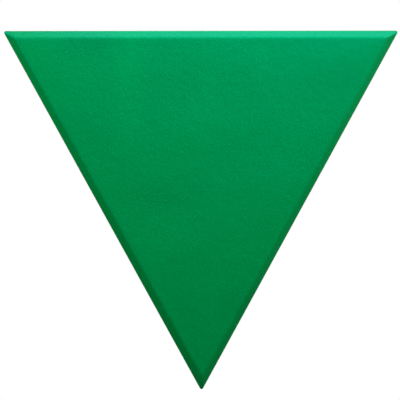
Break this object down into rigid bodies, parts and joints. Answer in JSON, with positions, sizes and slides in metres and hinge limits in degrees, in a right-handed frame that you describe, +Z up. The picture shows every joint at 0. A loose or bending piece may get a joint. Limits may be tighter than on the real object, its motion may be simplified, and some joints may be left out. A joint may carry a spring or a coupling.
{
  "type": "upholstered wall panel",
  "caption": "Triangular wall panel in green leatherette with bevelled edges, point down, hung from a Z clip that it lifts off.",
  "frame": {"origin": "the middle of the wall clip's back face, on the wall's plane", "axes": "+Z up, -Y from the wall into the room (the panel faces -Y), +X to the right as seen from the room"},
  "size_m": [0.328, 0.0218, 0.2989],
  "materials": {
    "leatherette": "satin",
    "foam": "matte",
    "fibreboard": "matte",
    "zinc_plated_steel": "satin",
    "aluminium": "satin",
    "rubber": "matte"
  },
  "bodies": {
    "wall_clip": {"wall_clip": "aluminium"},
    "panel": {"cover": "leatherette", "foam_pad": "foam", "backing_board": "fibreboard", "hem_staple_01": "zinc_plated_steel", "hem_staple_02": "zinc_plated_steel", "hem_staple_03": "zinc_plated_steel", "hem_staple_04": "zinc_plated_steel", "hem_staple_05": "zinc_plated_steel", "hem_staple_06": "zinc_plated_steel", "hem_staple_07": "zinc_plated_steel", "hem_staple_08": "zinc_plated_steel", "hem_staple_09": "zinc_plated_steel", "hem_staple_10": "zinc_plated_steel", "hem_staple_11": "zinc_plated_steel", "hem_staple_12": "zinc_plated_steel", "hem_staple_13": "zinc_plated_steel", "hem_staple_14": "zinc_plated_steel", "hem_staple_15": "zinc_plated_steel", "hem_staple_16": "zinc_plated_steel", "hem_staple_17": "zinc_plated_steel", "hem_staple_18": "zinc_plated_steel", "panel_clip": "aluminium", "panel_clip_screw_left": "zinc_plated_steel", "panel_clip_screw_middle": "zinc_plated_steel", "panel_clip_screw_right": "zinc_plated_steel", "spacer_left": "rubber", "spacer_right": "rubber", "spacer_bottom": "rubber"}
  },
  "joints": [
    {"name": "panel_lift", "type": "slide", "parent": "wall_clip", "child": "panel", "axis": [0, 0, 1], "range_m": [0, 0.015]}
  ]
}
